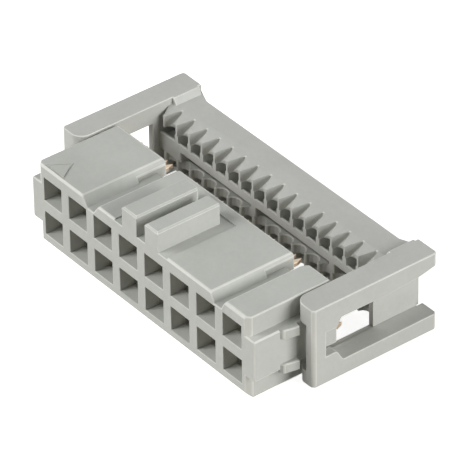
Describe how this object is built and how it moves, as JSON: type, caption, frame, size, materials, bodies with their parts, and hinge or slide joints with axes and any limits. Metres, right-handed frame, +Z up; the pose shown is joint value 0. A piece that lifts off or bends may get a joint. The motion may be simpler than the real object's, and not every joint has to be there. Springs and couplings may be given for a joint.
{
  "type": "idc socket connector",
  "caption": "Insulation-displacement ribbon cable socket with a keyed housing, slotted fork contacts and a slide-on clamp cover shown raised for the cable.",
  "frame": {"origin": "centre of the mating face, on the web between the two contact rows and the two middle columns", "axes": "+X along the contact rows, +Y from the mating face towards the cable side, +Z up, towards the polarizing key; the housing rests on its underside"},
  "size_m": [0.0248, 0.0129, 0.0074],
  "materials": {
    "housing_plastic": "fine moulded satin, light grey",
    "cover_plastic": "fine moulded satin, light grey",
    "contact_metal": "satin copper alloy strip"
  },
  "bodies": {
    "socket": {"housing": "housing_plastic", "contact_a1": "contact_metal", "contact_a2": "contact_metal", "contact_a3": "contact_metal", "contact_a4": "contact_metal", "contact_a5": "contact_metal", "contact_a6": "contact_metal", "contact_a7": "contact_metal", "contact_a8": "contact_metal", "contact_b1": "contact_metal", "contact_b2": "contact_metal", "contact_b3": "contact_metal", "contact_b4": "contact_metal", "contact_b5": "contact_metal", "contact_b6": "contact_metal", "contact_b7": "contact_metal", "contact_b8": "contact_metal"},
    "cover": {"cable_cover": "cover_plastic"}
  },
  "joints": [
    {"name": "cover_press", "type": "slide", "parent": "socket", "child": "cover", "axis": [0, -1, 0], "range_m": [0, 0.0025]}
  ]
}
